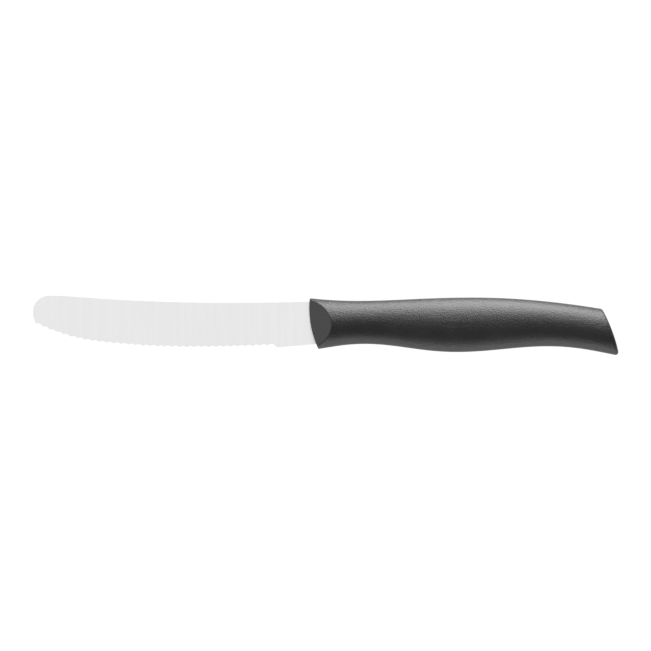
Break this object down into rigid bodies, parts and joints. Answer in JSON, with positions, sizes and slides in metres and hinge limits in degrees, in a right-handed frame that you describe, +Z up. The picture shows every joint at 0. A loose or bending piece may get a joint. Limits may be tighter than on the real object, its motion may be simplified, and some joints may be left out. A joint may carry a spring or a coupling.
{
  "type": "tomato knife",
  "caption": "Serrated kitchen knife with a blunt-nosed stamped steel blade and a curved black plastic handle moulded round a hidden tang.",
  "frame": {"origin": "middle of the knife's length and height, on the surface that it lies on", "axes": "+X from the blade's tip to the butt of the handle, +Y from the cutting edge to the spine, +Z up through the thickness"},
  "size_m": [0.25, 0.0253, 0.015],
  "materials": {
    "steel": "fine ground satin",
    "plastic": "black with a fine moulded grain"
  },
  "bodies": {
    "root": {"blade": "steel", "handle": "plastic"}
  },
  "joints": []
}
